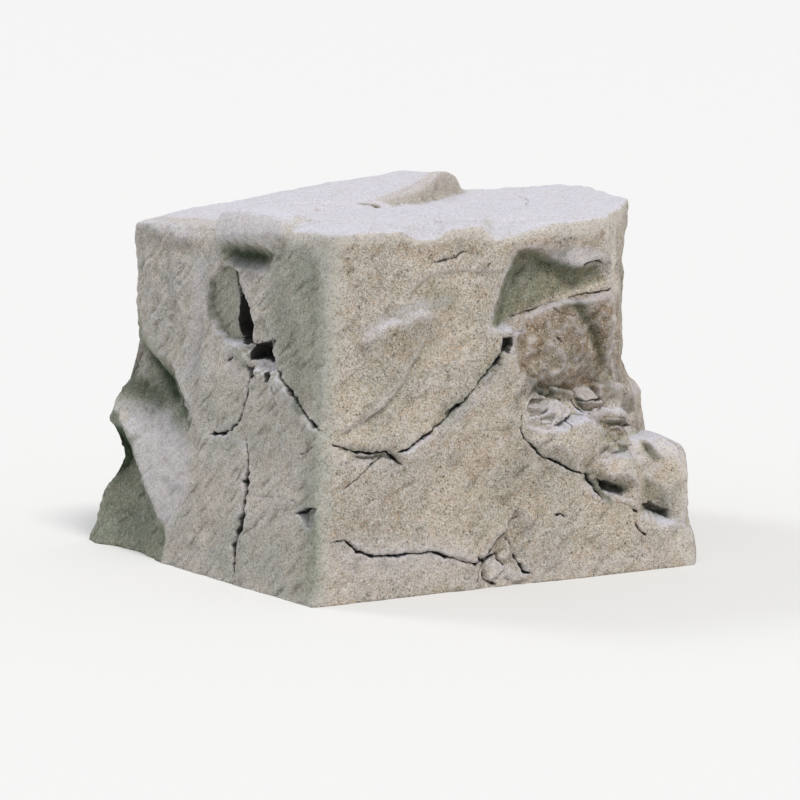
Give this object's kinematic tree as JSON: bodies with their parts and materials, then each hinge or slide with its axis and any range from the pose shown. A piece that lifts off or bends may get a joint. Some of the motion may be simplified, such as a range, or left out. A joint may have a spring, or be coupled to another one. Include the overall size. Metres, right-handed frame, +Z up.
{
  "type": "garden boulder",
  "caption": "Squared weathered stone block with a near-flat top, open joints, ledges and a broken right end, cut flat at the ground it rests on.",
  "frame": {"origin": "centre of the footprint box at ground level, on the flat underside", "axes": "+Z up; +X along the long side towards its broken right end; the long side faces -Y and the short side faces -X"},
  "size_m": [1.4931, 1.0671, 0.9539],
  "materials": {
    "stone": "dull, weathered, granite-like grain"
  },
  "bodies": {
    "root": {"boulder": "stone"}
  },
  "joints": []
}
